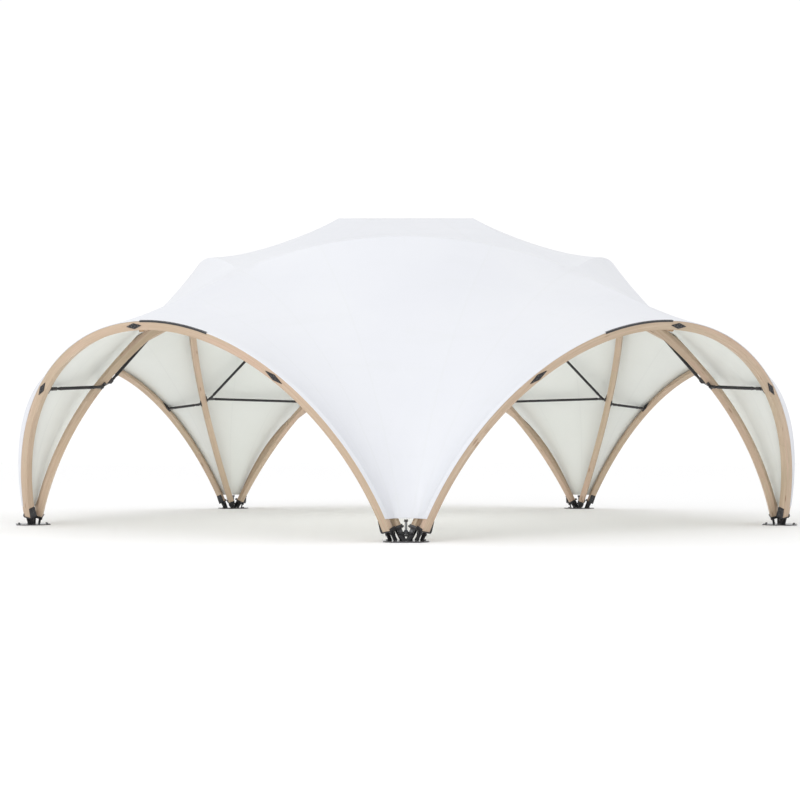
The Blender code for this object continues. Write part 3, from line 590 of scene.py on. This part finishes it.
def membrane_grids():
    """Half a leg's sail, half the shoulder above it and half a side of the crown, each as rows of points."""
    crossing = crest_points()[1]
    crossings = np.linspace(OVER_RIGHT.angle_at_height(MEMBRANE_START), CROSSING, LEG_ROWS + 1)
    hem = OPENING_DEPTH / 2 + HEM_LIFT
    level = OVER_RIGHT.point(crossings[0], CROSS_DEPTH / 2 + CLEAR)[2]
    tries = np.linspace(OPENING.end_angle, math.pi / 2, LEVEL_TRIES)
    fold = OPENING_WIDTH / 2 - HEM_INSET
    starts = [next(a for a in tries if OPENING.point(a, hem, shift)[2] >= level)
              for shift in (-TOP_STRIP, fold)]
    openings, folds = (np.linspace(start, math.pi / 2, LEG_ROWS + 1) for start in starts)
    tops = np.linspace(math.pi - CROSSING, math.pi / 2, TOP_COLUMNS + 1)
    top_line = [OVER_FRONT.point(a, CROSS_DEPTH / 2 + CLEAR) for a in tops]
    bow = CROSSING_LIFT - CLEAR
    top_line = [p + OVER_FRONT.normal(a) * bow * (1 - k / TOP_COLUMNS) ** 2
                for k, (p, a) in enumerate(zip(top_line, tops))]
    top_line[0] = crossing
    leg = np.zeros((LEG_ROWS + 1, OPENING_COLUMNS + TOP_COLUMNS + 2, 3))
    for row in range(LEG_ROWS + 1):
        leg[row, 0] = OPENING.point(folds[row], hem, fold)
        inner = OPENING.point(openings[row], hem, -TOP_STRIP)
        rib = OVER_RIGHT.point(crossings[row], CROSS_DEPTH / 2 + CLEAR)
        if row == LEG_ROWS:
            rib = crossing
        for k in range(OPENING_COLUMNS + 1):
            leg[row, k + 1] = inner + (rib - inner) * k / OPENING_COLUMNS
        middle = np.array([0.0, rib[1], rib[2]])
        for k in range(1, TOP_COLUMNS + 1):
            leg[row, OPENING_COLUMNS + k + 1] = rib + (middle - rib) * k / TOP_COLUMNS
    leg[LEG_ROWS, OPENING_COLUMNS + 1:] = top_line
    other = turned(BAY, -STEP)
    side = np.array([BAY * CROWN_RADIUS + (other - BAY) * CROWN_RADIUS / 2 * k / TOP_COLUMNS
                     for k in range(TOP_COLUMNS + 1)]) + UP * (CROWN_HEIGHT + CLEAR)
    top_line = np.array(top_line)
    shoulder = np.array([top_line + (side - top_line) * row / SHOULDER_ROWS
                         for row in range(SHOULDER_ROWS + 1)])
    peak = UP * (CROWN_HEIGHT + CLEAR + CROWN_RISE)
    crown = np.array([side + (peak - side) * row / CROWN_ROWS for row in range(CROWN_ROWS + 1)])
    relax(leg[:, 1:])
    relax(shoulder)
    return leg, shoulder, crown


def in_triangles(points, face):
    """A quad as two triangles, split along its shorter diagonal, so that both skins of the cloth agree."""
    if len(face) == 3:
        return [face]
    a, b, c, d = face
    if np.linalg.norm(points[a] - points[c]) <= np.linalg.norm(points[b] - points[d]):
        return [[a, b, c], [a, c, d]]
    return [[a, b, d], [b, c, d]]


def membrane_sheet():
    """The whole sheet: ten mirrored halves joined at common points, as two skins closed along the hem."""
    grids = membrane_grids()
    points, panels, faces, found = [], [], [], {}
    for leg in range(LEGS):
        for flip in (1, -1):
            for kind, grid in enumerate(grids):
                rows, columns = grid.shape[:2]
                numbers = np.zeros((rows, columns), int)
                for i in range(rows):
                    for j in range(columns):
                        p = turned(grid[i, j] * (flip, 1, 1), leg * STEP)
                        key = tuple(np.round(p, JOIN_DIGITS) + 0.0)
                        if key not in found:
                            found[key] = len(points)
                            points.append(p)
                            if kind:
                                across = 1 + j / TOP_COLUMNS
                            elif j <= OPENING_COLUMNS + 1:
                                across = max((j - 1) / OPENING_COLUMNS, 0.0)
                            else:
                                across = 1 + (j - 1 - OPENING_COLUMNS) / TOP_COLUMNS
                            half = grid[i, :, 0].max() - grid[i, :, 0].min()
                            mark = grid[i, j][2] + leg * MARK_SEEDS[0] + flip * MARK_SEEDS[1]
                            panels.append((across, mark, half))
                        numbers[i, j] = found[key]
                for i in range(rows - 1):
                    for j in range(columns - 1):
                        quad = [numbers[i, j], numbers[i, j + 1], numbers[i + 1, j + 1], numbers[i + 1, j]]
                        quad = list(dict.fromkeys(quad))
                        if len(quad) > 2:
                            faces.append(quad[::flip])
    points = np.array(points)
    faces = [half for face in faces for half in in_triangles(points, face)]
    normals = np.zeros_like(points)
    for face in faces:
        corner = points[face]
        normal = np.cross(corner[2] - corner[0], corner[-1] - corner[1])
        if np.linalg.norm(normal) < TINY:
            continue
        normal = unit(normal)
        if normal @ (UP + corner[0] * (1, 1, 0) * OUTWARD_SHARE) < 0:
            normal = -normal
        for k in face:
            normals[k] += normal
    normals /= np.linalg.norm(normals, axis=1)[:, None]
    count = len(points)
    every = np.concatenate([points + normals * CLOTH / 2, points - normals * CLOTH / 2])
    solid = [tuple(f) for f in faces] + [tuple(i + count for i in f[::-1]) for f in faces]
    slots = [0] * len(faces) + [1] * len(faces)
    edges = {}
    for face in faces:
        for k in range(len(face)):
            pair = (face[k], face[(k + 1) % len(face)])
            edges.setdefault(frozenset(pair), []).append(pair)
    for pairs in edges.values():
        if len(pairs) == 1:
            a, b = pairs[0]
            solid.append((b, a, a + count, b + count))
            slots.append(0)
    return built_mesh("canopy_sheet", [tuple(p) for p in every], solid, slots, [CLOTH_OUT, CLOTH_IN],
                      "panel", panels + panels, CLOTH_SHARP_DEGREES)


# ---- struts ----
# places in a steel piece's list of materials, after the blackened steel at 0
FASTENER, PLATED, BASE = 1, 2, 3
FORK_NECK = 0.062
FORK_TIP = 0.016
FORK_HALF = 0.0135
PRONG_OFFSET = 0.013
PRONG_HALF = 0.003
BLOCK_BACK = 0.042
BLOCK_FRONT = 0.004
TUBE_END = ((-0.012, 0.011), (0.0, 0.0125), (0.006, 0.014), (0.035, STRUT_RADIUS * 0.96),
            (0.045, STRUT_RADIUS))
COLLAR = (0.046, 0.060)
COLLAR_RADIUS = STRUT_RADIUS + 0.002
EYE_HALF = 0.0095
EYE_RADIUS = 0.0165
PIN_HALF = 0.021
PIN_RADIUS = 0.007
NUT_RADIUS = 0.0105
NUT_HEIGHT = 0.007
LUG_WIDE = 0.0165
LUG_THICK = 0.009
LUG_END = 0.004
SEAT_ALONG = 0.05
SEAT_BACK = 0.010
SEAT_FACE = 0.001
SEAT_BOLT = 0.009
SEAT_BOLT_SHARE = 0.68
SIDE_PLATE = 0.010
SIDE_PLATE_LUG_END = 0.006
SIDE_PLATE_FOOT = -(FRAME_DROP + 0.022)
SIDE_PLATE_OUTLINE = ((-0.062, 0.028), (0.062, 0.028), (0.050, -0.06), (0.020, SIDE_PLATE_FOOT),
                      (-0.020, SIDE_PLATE_FOOT), (-0.050, -0.06))
SIDE_PLATE_BOLTS = ((-0.026, -0.03), (-0.026, 0.03), (0.010, -0.038), (0.010, 0.038))
SIDE_PLATE_BOLT = 0.008


def strut(body, start, end, pin_start, pin_end):
    """A tube with a collar, a tapered end and a fork on a pin at each knot."""
    run = unit(end - start)
    length = np.linalg.norm(end - start)
    profile = [(FORK_NECK + along, radius) for along, radius in TUBE_END]
    profile += [(length - along, radius) for along, radius in profile[::-1]]
    body.lathe(start, run, profile)
    for knot, way, pin in ((start, run, pin_start), (end, -run, pin_end)):
        body.lathe(knot, way, [(FORK_NECK + along, COLLAR_RADIUS) for along in COLLAR])
        pin = unit(pin - (pin @ way) * way)
        axes = (way, np.cross(pin, way), pin)
        for sign in (-1, 1):
            body.box(knot + pin * sign * PRONG_OFFSET, axes, (-FORK_TIP, -FORK_HALF, -PRONG_HALF),
                     (FORK_NECK, FORK_HALF, PRONG_HALF))
            body.hexagon(knot + pin * sign * (PRONG_OFFSET + PRONG_HALF), pin * sign, NUT_RADIUS, NUT_HEIGHT,
                         FASTENER)
        body.box(knot, axes, (FORK_NECK - BLOCK_BACK, -FORK_HALF, -PRONG_OFFSET),
                 (FORK_NECK + BLOCK_FRONT, FORK_HALF, PRONG_OFFSET))
        body.rod(knot, pin, EYE_HALF, EYE_RADIUS)
        body.rod(knot, pin, PIN_HALF, PIN_RADIUS, 16, FASTENER)


def seat(body, knot, way, along, half_across):
    """A lug plate from a knot to a bolted seat plate on the timber."""
    axes = (along, np.cross(way, along), way)
    body.box(knot, axes, (-LUG_WIDE, -LUG_THICK, 0.0), (LUG_WIDE, LUG_THICK, LUG - LUG_END))
    body.box(knot, axes, (-SEAT_ALONG, -half_across, LUG - SEAT_BACK),
             (SEAT_ALONG, half_across, LUG - SEAT_FACE))
    for sign in (-1, 1):
        head = knot + way * (LUG - SEAT_BACK) + along * sign * SEAT_ALONG * SEAT_BOLT_SHARE
        body.bolt(head, -way, SEAT_BOLT, FASTENER)


def strut_meshes():
    """Both side struts of a leg, and its frame of one level and two rising struts."""
    link_angle = OPENING.angle_at_height(LINK_HEIGHT)
    link = OPENING.point(link_angle, -LINK_DROP, -(OPENING_WIDTH / 2 + LUG))
    node_angle = OVER_RIGHT.angle_at_height(NODE_HEIGHT)
    outer = OVER_RIGHT.point(node_angle, -TIE_DROP, CROSS_WIDTH / 2 + LUG)
    frame_angle = OVER_RIGHT.angle_at_height(NODE_HEIGHT + FRAME_RAISE)
    inner = OVER_RIGHT.point(frame_angle, -FRAME_DROP, -(CROSS_WIDTH / 2 + LUG))
    top = OVER_FRONT.point(math.pi / 2, -(CROSS_DEPTH / 2 + LUG))
    rib = OVER_RIGHT.across
    meshes = []
    for flip in (1, -1):
        turn = np.array([flip, 1, 1])
        tie = Body()
        link_run, rib_run = OPENING.tangent(link_angle) * turn, OVER_RIGHT.tangent(node_angle) * turn
        link_pin, rib_pin = np.cross(OPENING.across * turn, link_run), np.cross(rib * turn, rib_run)
        strut(tie, link * turn, outer * turn, link_pin, rib_pin)
        seat(tie, link * turn, OPENING.across * turn, link_run, 0.017)
        seat(tie, outer * turn, -rib * turn, rib_run, 0.018)
        meshes.append(tie.mesh("side_strut", [BLACK, BOLT]))
    frame_body = Body()
    far = mirror_x(inner)
    frame_run = OVER_RIGHT.tangent(frame_angle)
    hinge = np.cross(rib, frame_run)
    crest = np.cross(OVER_FRONT.rising, OVER_FRONT.along)
    strut(frame_body, inner, far, hinge, mirror_x(hinge))
    strut(frame_body, inner, top, hinge, crest)
    strut(frame_body, far, top, mirror_x(hinge), crest)
    outline = rounded(SIDE_PLATE_OUTLINE, 0.010)
    for flip in (1, -1):
        turn = np.array([flip, 1, 1])
        origin = OVER_RIGHT.point(frame_angle) * turn
        axes = (rib * turn, frame_run * turn, OVER_RIGHT.normal(frame_angle) * turn)
        face = -(CROSS_WIDTH / 2)
        frame_body.loft([[origin + axes[0] * (face - thick) + axes[1] * u + axes[2] * w for u, w in outline]
                         for thick in (0.0, SIDE_PLATE)])
        frame_body.box(inner * turn, (frame_run * turn, hinge * turn, rib * turn),
                       (-LUG_WIDE, -LUG_THICK, 0.0), (LUG_WIDE, LUG_THICK, LUG - SIDE_PLATE_LUG_END))
        for lift, off in SIDE_PLATE_BOLTS:
            spot = origin + axes[0] * (face - SIDE_PLATE) + axes[1] * off + axes[2] * lift
            frame_body.bolt(spot, -axes[0], SIDE_PLATE_BOLT, FASTENER)
    seat(frame_body, top, OVER_FRONT.rising, OVER_FRONT.along, 0.036)
    meshes.append(frame_body.mesh("rising_struts", [BLACK, BOLT]))
    return meshes


# ---- feet ----
PLATE_CUT = 0.09
PLATE_CORNER = 0.018
ANCHORS = ((-0.19, 0.0), (0.19, 0.0), (-0.10, 0.17), (0.10, 0.17), (-0.10, -0.17), (0.10, -0.17))
ANCHOR_SIZE = 0.012
SHOE_MARGIN = 0.008
SHOE_PLATE = 0.014
SHOE_PLAY = 0.0005
SHOE_LIP = 0.018
GUSSET = ((0.0, -SHOE_PLATE), (0.0, 0.125), (-0.008, 0.122), (-0.030, 0.010), (-0.026, -SHOE_PLATE))
GUSSET_SHARE = 0.46
GUSSET_BOLTS = (0.055, 0.095)
GUSSET_BOLT_DEPTH = 0.017
GUSSET_SLOPE = 0.1
FIN_OFFSET = 0.55
FIN_SHARES = (0.52, 0.36)
FIN_HALF = 0.008
SHOE_PIN_DROP = 0.045
SHOE_PIN_HALF = 0.055
SHOE_PIN_RADIUS = 0.011
SHOE_NUT_OUT = 0.045
CRADLE_RADII = (0.050, 0.075)
CRADLE_HALF = 0.03
CRADLE_STEPS = 24
BAR_LOW = (-0.062, -0.012, 0.071)
BAR_HIGH = (0.062, 0.012, 0.084)
THREAD_START = 0.070
THREAD_PITCH = 0.0044
THREAD_RADII = (0.0138, 0.0120)
CONE = ((0.0845, 0.034), (0.090, 0.034), (0.104, 0.022), (0.116, 0.016))


def shoe(body, arch, width, depth, turn):
    """The welded shoe at one end of an arch, with its two fins down to the base plate and its pin."""
    angle = arch.end_angle
    axes = (arch.across * turn, arch.normal(angle) * turn, arch.tangent(angle) * turn)
    end = arch.point(angle) * turn
    wide, deep = width / 2 + SHOE_MARGIN, depth / 2 + SHOE_MARGIN
    body.box(end, axes, (-wide, -deep, -SHOE_PLATE), (wide, deep, 0.0))
    # the opening arches alone have a tapered gusset under the soffit, bolted up into it
    if arch is OPENING:
        face = -depth / 2 - SHOE_PLAY
        outline = rounded([(face + u, w) for u, w in GUSSET], 0.006)
        body.loft([[end + axes[0] * across + axes[1] * u + axes[2] * w for u, w in outline]
                   for across in (-width * GUSSET_SHARE, width * GUSSET_SHARE)])
        for up in GUSSET_BOLTS:
            out = face - GUSSET_BOLT_DEPTH + GUSSET_SLOPE * (up - GUSSET_BOLTS[0])
            body.bolt(end + axes[1] * out + axes[2] * up, -axes[1], 0.009, FASTENER)
    # a low lip on the back of each shoe
    body.box(end, axes, (-width / 2, depth / 2 + SHOE_PLAY, -SHOE_PLATE), (width / 2, deep, SHOE_LIP))
    for side in (-1, 1):
        head = end + axes[1] * side * deep * FIN_OFFSET - axes[2] * SHOE_PLATE / 2
        loops = []
        for share in FIN_SHARES:
            loop = []
            for across, over in ((-1, -1), (1, -1), (1, 1), (-1, 1)):
                p = head + axes[0] * across * wide * share + axes[1] * over * FIN_HALF
                if share == FIN_SHARES[1]:
                    p = p - axes[2] * (p[2] - PLATE * 0.6) / axes[2][2]
                loop.append(p)
            loops.append(loop)
        body.loft(loops)
    pin_at = end - axes[2] * SHOE_PIN_DROP
    body.rod(pin_at, axes[1], SHOE_PIN_HALF, SHOE_PIN_RADIUS, 18, FASTENER)
    for sign in (-1, 1):
        body.hexagon(pin_at + axes[1] * sign * SHOE_NUT_OUT, axes[1] * sign, 0.018, 0.012, FASTENER)


def foot_mesh():
    """A foot: base plate with its anchors, four shoes, the cradle, the threaded tension rod and its nuts."""
    body = Body()
    centre = np.array([0.0, -FOOT_RADIUS, 0.0])
    x, y = np.array([1.0, 0.0, 0.0]), np.array([0.0, 1.0, 0.0])
    half_side, half_length = PLATE_SIDE / 2, PLATE_LENGTH / 2
    outline = [(-half_side, PLATE_CUT - half_length), (PLATE_CUT - half_side, -half_length),
               (half_side - PLATE_CUT, -half_length), (half_side, PLATE_CUT - half_length),
               (half_side, half_length - PLATE_CUT), (half_side - PLATE_CUT, half_length),
               (PLATE_CUT - half_side, half_length), (-half_side, half_length - PLATE_CUT)]
    outline = rounded(outline, PLATE_CORNER, 4)
    body.loft([[centre + x * u * shrink + y * v * shrink + UP * height for u, v in outline]
               for height, shrink in ((0.0, 1.0), (PLATE - 0.002, 1.0), (PLATE, 0.992))], BASE)
    for u, v in ANCHORS:
        body.bolt(centre + x * u + y * v + UP * (PLATE - 0.001), UP, ANCHOR_SIZE, FASTENER)
    ends = ((OPENING, OPENING_WIDTH, OPENING_DEPTH), (OVER_RIGHT, CROSS_WIDTH, CROSS_DEPTH))
    for arch, width, depth in ends:
        for flip in (1, -1):
            shoe(body, arch, width, depth, np.array([flip, 1, 1]))
    low_radius, high_radius = CRADLE_RADII
    lift = high_radius + PLATE / 2
    section = [(low_radius, -CRADLE_HALF), (high_radius, -CRADLE_HALF), (high_radius, CRADLE_HALF),
               (low_radius, CRADLE_HALF)]
    loops = []
    for k in range(CRADLE_STEPS + 1):
        a = math.pi + math.pi * k / CRADLE_STEPS
        loops.append([centre + x * r * math.cos(a) + y * v + UP * (lift + r * math.sin(a))
                      for r, v in section])
    body.loft(loops)
    for side in (-1, 1):
        rim = centre + x * side * (low_radius + high_radius) / 2 + UP * lift
        body.rod(rim, y, CRADLE_HALF, (high_radius - low_radius) / 2)
    body.box(centre, (x, y, UP), BAR_LOW, BAR_HIGH)
    crest, root = THREAD_RADII
    thread = [(0.066, 0.0130)]
    z = THREAD_START
    while z < ROD_TOP - 0.012:
        thread += [(z, crest), (z + THREAD_PITCH / 2, root), (z + THREAD_PITCH, crest)]
        z += THREAD_PITCH
    thread.append((ROD_TOP - 0.006, 0.0095))
    body.lathe(centre, UP, thread, 20, PLATED)
    body.lathe(centre, UP, CONE, 24, FASTENER)
    body.hexagon(centre + UP * 0.050, UP, 0.022, 0.018, FASTENER)
    body.hexagon(centre + UP * (ROD_TOP - 0.026), UP, 0.023, 0.024, FASTENER)
    return body.mesh("steel_foot", [BLACK, BOLT, ZINC, PLATE_STEEL], 30.0)


# ---- splices and hem ----
SPLICE_CORNER = 0.012
SPLICE_BOLTS = ((-0.075, 0), (-0.028, 0), (0.028, 0), (0.075, 0), (0, -0.020), (0, 0.020))
SPLICE_BOLT = 0.0075
RAIL_SECTION = ((0.0005, -0.011), (0.005, -0.011), (0.005, 0.008), (-0.016, 0.010), (-0.016, 0.007),
                (0.0005, 0.004))
RAIL_CORNER = 0.0015
RAIL_START = 0.10
RAIL_STEPS = 40
CORD_START = MEMBRANE_START + 0.02
CORD_RADIUS = 0.0045
CORD_INSET = 0.003
CORD_SIDES = 8
CORD_STEPS = 120


def splice_mesh():
    """Three pairs of rhombic splice plates, on an opening arch's outer and inner faces, with their bolts."""
    body = Body()
    half_long, half_wide, thick = SPLICE
    outline = rounded([(-half_long, 0.0), (0.0, -half_wide), (half_long, 0.0), (0.0, half_wide)],
                      SPLICE_CORNER, 4)
    for degrees in SPLICE_ANGLES:
        angle = math.radians(degrees)
        along, up = OPENING.tangent(angle), OPENING.normal(angle)
        for flip in (1, -1):
            base = OPENING.point(angle, 0.0, flip * OPENING_WIDTH / 2)
            out = OPENING.across * flip
            body.loft([[base + along * u * share + up * v * share + out * height for u, v in outline]
                       for height, share in ((0.0, 1.0), (thick - 0.001, 1.0), (thick, 0.97))])
            for u, v in SPLICE_BOLTS:
                body.bolt(base + along * u + up * v + out * thick, out, SPLICE_BOLT, FASTENER)
    return body.mesh("splice_plates", [BLACK, BOLT])


def rail_mesh(side):
    """The clamp rail beside an opening arch's peak, and the cord in the cloth's hem along the arch."""
    body = Body()
    top, edge = OPENING_DEPTH / 2, OPENING_WIDTH / 2
    section = rounded([(edge + shift, top + lift) for shift, lift in RAIL_SECTION], RAIL_CORNER, 2)
    rail = []
    for share in np.linspace(RAIL_START, 1.0, RAIL_STEPS + 1):
        angle = math.pi / 2 + side * RAIL_SPAN * share
        rail.append([OPENING.point(angle, lift, shift) for shift, lift in section])
    body.loft(rail)
    around = [math.tau * k / CORD_SIDES for k in range(CORD_SIDES)]
    ring = [(top + CORD_RADIUS + CORD_RADIUS * math.sin(a), edge - CORD_INSET + CORD_RADIUS * math.cos(a))
            for a in around]
    low = OPENING.angle_at_height(CORD_START)
    body.loft([[OPENING.point(angle, lift, shift) for lift, shift in ring]
               for angle in np.linspace(low, math.pi - low, CORD_STEPS + 1)], 1)
    return body.mesh("hem_rail", [BLACK, CLOTH_OUT])


# ---- assembly ----
opening = arch_mesh("opening_timber", OPENING, opening_section())
cross = arch_mesh("cross_timber", OVER_RIGHT, cross_section(CROSS_WIDTH, CROSS_DEPTH))
apex, crossing, corner = crest_points()
inner_face = OPENING.point(math.pi / 2) - OPENING.across * (OPENING_WIDTH / 2 - 0.001)
ridge = beam_mesh("ridge_timber", apex, crossing, (inner_face, OPENING.across),
                  (crossing, unit(crossing - apex)))
low_corner = corner - UP * CROWN_BEAM_DROP
ring_face = BAY * (CROWN_RADIUS - RING_FACE_INSET)
crown_beam = beam_mesh("crown_beam_timber", crossing, low_corner, (crossing, unit(low_corner - crossing)),
                       (ring_face, BAY))
tie_b, tie_a, rising = strut_meshes()
foot = foot_mesh()
splices = splice_mesh()
rails = {side: rail_mesh(side) for side in (-1, 1)}

for leg in range(LEGS):
    turn = leg * STEP
    bay, name = BAY_NAMES[leg], LEG_NAMES[leg]
    over = LEG_NAMES[(leg + 1) % LEGS]
    place("open_arch_" + bay, opening, ["opening_arch_" + bay], turn)
    place("star_arch_" + over, cross, ["cross_arch_" + over], turn)
    place("ridge_timber_" + bay, ridge, ["ridge_beam_" + bay], turn)
    place("crown_timber_" + bay, crown_beam, ["crown_beam_" + bay], turn)
    place("side_strut_a_" + name, tie_a, ["side_tie_a_" + name], turn)
    place("side_strut_b_" + name, tie_b, ["side_tie_b_" + name], turn)
    place("rising_struts_" + name, rising, ["leg_frame_" + name], turn)
    place("steel_foot_" + name, foot, ["foot_" + name], turn, FOOT_BEVEL)
    place("splices_" + bay, splices, (), turn)
    place("hem_rail_" + bay, rails[RAIL_SIDES[leg]], (), turn)
place("crown_timber_ring", ring_mesh(), ["crown_ring"])
sheet = place("canopy_sheet", membrane_sheet(),
              ["sail_" + leg for leg in LEG_NAMES] + ["crown_panel"])

# ---- floor, light and camera ----
FLOOR_REACH = 400.0
FLOOR_DROP = 0.001
STUDIO_STRENGTH = 1.03
# name, place, aim, size in metres, watts, tint, shape
LIGHTS = (
    ("key", (-9.0, -17.0, 8.0), (0.0, 0.0, 2.0), 7.0, 650.0, (1.0, 1.0, 1.0), "SQUARE"),
    ("fill", (13.0, -11.0, 9.0), (0.0, 0.0, 1.5), 9.0, 30.0, (1.0, 1.0, 1.0), "SQUARE"),
    ("bounce", (0.0, PLAN_SHIFT_Y, 0.04), (0.0, PLAN_SHIFT_Y, 3.0), 9.4, 92.0, (1.0, 1.0, 0.98), "DISK"),
    ("under_roof", (0.0, PLAN_SHIFT_Y, 3.2), (0.0, PLAN_SHIFT_Y, 0.0), 3.0, 25.0, (1.0, 1.0, 1.0), "DISK"),
)
CAMERA_SPOT = (0.0, -18.186, 0.823)
CAMERA_PITCH = 0.0458
CAMERA_ROLL = 0.0046
SENSOR_MM = 36.0
LENS_MM = 58.86
VIEW_LIMIT = 1000.0

floor_mesh = bpy.data.meshes.new("floor")
floor_corners = ((-1, -1), (1, -1), (1, 1), (-1, 1))
floor_mesh.from_pydata([(x * FLOOR_REACH, y * FLOOR_REACH, 0) for x, y in floor_corners], [], [(0, 1, 2, 3)])
floor = bpy.data.objects.new("floor", floor_mesh)
bpy.context.scene.collection.objects.link(floor)
floor.location.z = -FLOOR_DROP
f = Nodes("pale_floor")
floor_spot = f.add("ShaderNodeTexCoord").outputs["Object"]
floor_cloud = f.ramp(f.noise(floor_spot, 0.8, 3.0), 0.3, 0.7)
f.put(f.shader, "Base Color", f.mix(floor_cloud, colour(0.975, 0.975, 0.975), colour(0.965, 0.965, 0.968)))
f.put(f.shader, "Roughness", 0.9)
f.put(f.shader, "Specular IOR Level", 0.1)
floor_mesh.materials.append(f.material)

scene = bpy.context.scene
scene.view_settings.view_transform = "Standard"
world = bpy.data.worlds.new("studio")
scene.world = world
world.use_nodes = True
background = world.node_tree.nodes["Background"]
background.inputs["Color"].default_value = colour(1.0, 1.0, 1.0)
background.inputs["Strength"].default_value = STUDIO_STRENGTH


def area_light(name, spot, target, size, power, tint, shape):
    data = bpy.data.lights.new(name, "AREA")
    data.energy = power
    data.size = size
    data.color = tint
    data.shape = shape
    made = bpy.data.objects.new(name, data)
    scene.collection.objects.link(made)
    made.location = spot
    made.rotation_euler = (Vector(target) - Vector(spot)).to_track_quat("-Z", "Y").to_euler()
    made.visible_camera = False


for light in LIGHTS:
    area_light(*light)

camera_data = bpy.data.cameras.new("camera")
camera = bpy.data.objects.new("camera", camera_data)
scene.collection.objects.link(camera)
camera_data.sensor_width = SENSOR_MM
camera_data.lens = LENS_MM
camera_data.clip_end = VIEW_LIMIT
camera.location = CAMERA_SPOT
camera.rotation_euler = (math.pi / 2 + CAMERA_PITCH, 0.0, CAMERA_ROLL)
scene.camera = camera
